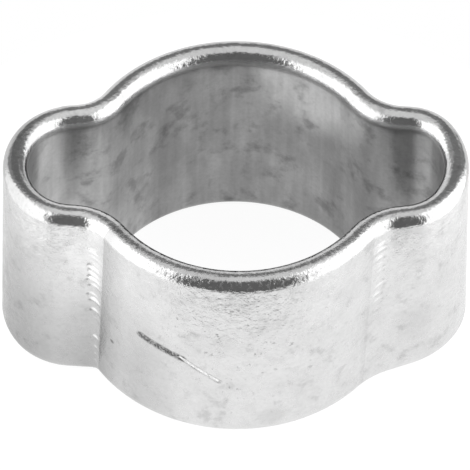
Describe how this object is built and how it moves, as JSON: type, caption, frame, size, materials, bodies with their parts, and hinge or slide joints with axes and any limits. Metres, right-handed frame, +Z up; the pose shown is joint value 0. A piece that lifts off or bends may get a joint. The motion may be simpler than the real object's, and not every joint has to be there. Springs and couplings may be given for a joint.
{
  "type": "two-ear hose clamp",
  "caption": "Closed steel band with a round bore and opposed pinch ears that pliers squeeze to clamp a small hose onto its fitting.",
  "frame": {"origin": "on the bore's axis, in the plane of the lower edge that the band stands on", "axes": "+Z up along the bore, +X towards one ear, -Y towards the front face between the ears"},
  "size_m": [0.0156, 0.0108, 0.0077],
  "materials": {
    "zinc_plated_steel": "bright zinc plating over formed steel, satin with fine marks"
  },
  "bodies": {
    "root": {"clamp_band": "zinc_plated_steel"}
  },
  "joints": []
}
